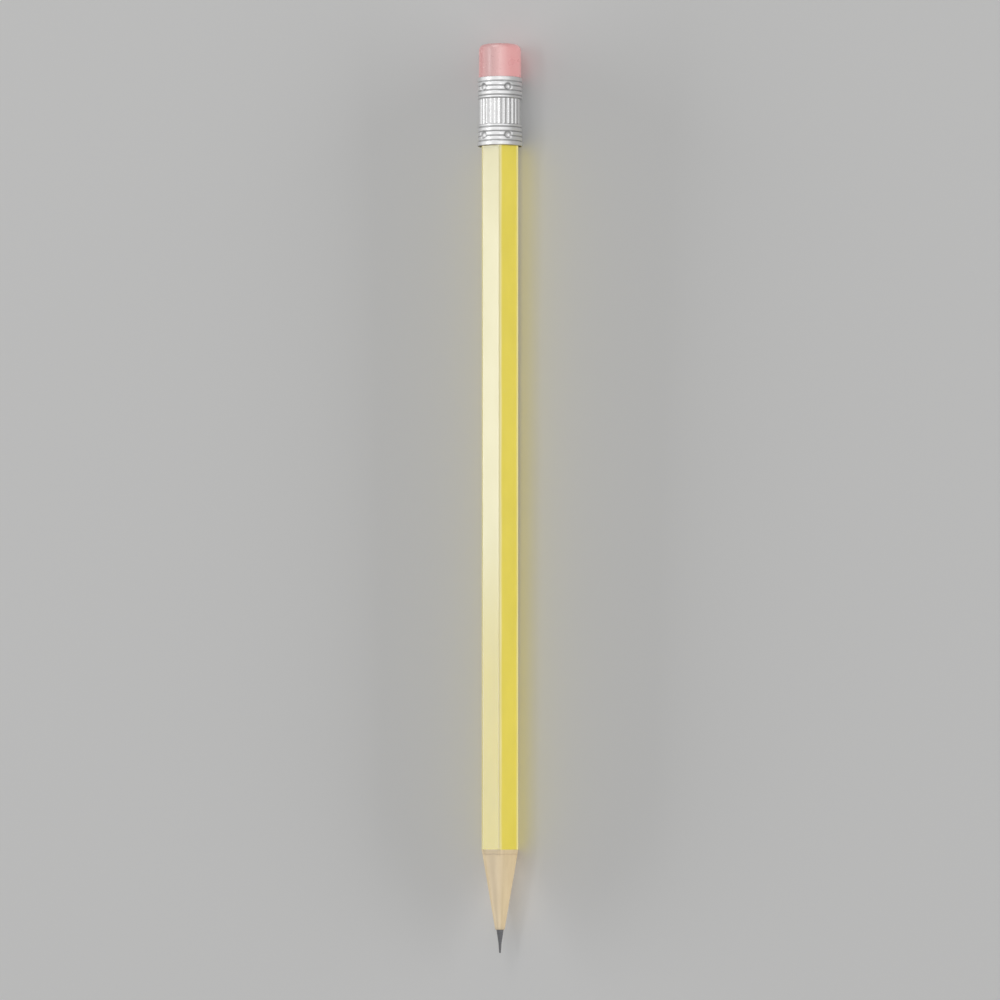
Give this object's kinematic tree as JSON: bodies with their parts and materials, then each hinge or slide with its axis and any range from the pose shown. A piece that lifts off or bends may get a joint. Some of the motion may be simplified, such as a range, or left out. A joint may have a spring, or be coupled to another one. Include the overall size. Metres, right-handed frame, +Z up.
{
  "type": "pencil",
  "caption": "Sharpened hexagonal wood pencil lying on its side, yellow lacquer, ringed and fluted metal ferrule with crimps, round-ended pink eraser.",
  "frame": {"origin": "bottom of the part under the middle of its length, where the ferrule's lowest ring meets the ground; the pencil's axis runs 4.35 mm above it", "axes": "+X along the pencil from the point to the eraser, +Z up and square to two of the six flats, +Y along the glue plane through two opposite edges"},
  "size_m": [0.1766, 0.0086, 0.0087],
  "materials": {
    "wood": "bare, smooth-sharpened softwood with fine straight grain",
    "graphite": "dark grey graphite with a soft metallic sheen",
    "lacquer": "glossy yellow lacquer",
    "ferrule_metal": "bright rolled aluminium",
    "eraser_rubber": "satin pink rubber"
  },
  "bodies": {
    "root": {"casing_half_upper": "wood", "casing_half_lower": "wood", "lead": "graphite", "lacquer_coat": "lacquer", "ferrule": "ferrule_metal", "eraser": "eraser_rubber"}
  },
  "joints": []
}
